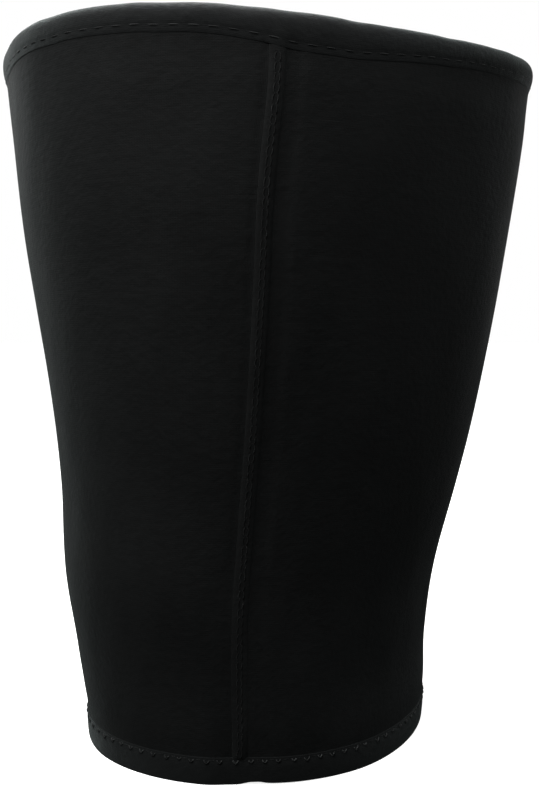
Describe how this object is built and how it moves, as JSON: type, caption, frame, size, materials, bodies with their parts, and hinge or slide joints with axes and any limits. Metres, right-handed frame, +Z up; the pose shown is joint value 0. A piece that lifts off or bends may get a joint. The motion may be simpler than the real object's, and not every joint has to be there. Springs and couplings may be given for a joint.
{
  "type": "thigh compression sleeve",
  "caption": "Black knit-faced neoprene thigh compression sleeve: an open tapered tube with a raised flat-lock seam down the front and folded, stitched hems at its ends.",
  "frame": {"origin": "on the surface that the sleeve stands on, under the middle of the wide upper hem", "axes": "+Z up along the limb, from the narrow end to the wide end; the seam faces -Y; +X is to the right as the seam is seen"},
  "size_m": [0.1813, 0.1641, 0.226],
  "materials": {
    "neoprene_knit": "matte black fine knit face on neoprene foam",
    "hem_knit": "matte black knit binding, folded and stitched",
    "seam_thread": "black sewing thread with a soft sheen"
  },
  "bodies": {
    "root": {"sleeve_panel": "neoprene_knit", "front_seam": "seam_thread", "top_hem": "hem_knit", "bottom_hem": "hem_knit"}
  },
  "joints": []
}
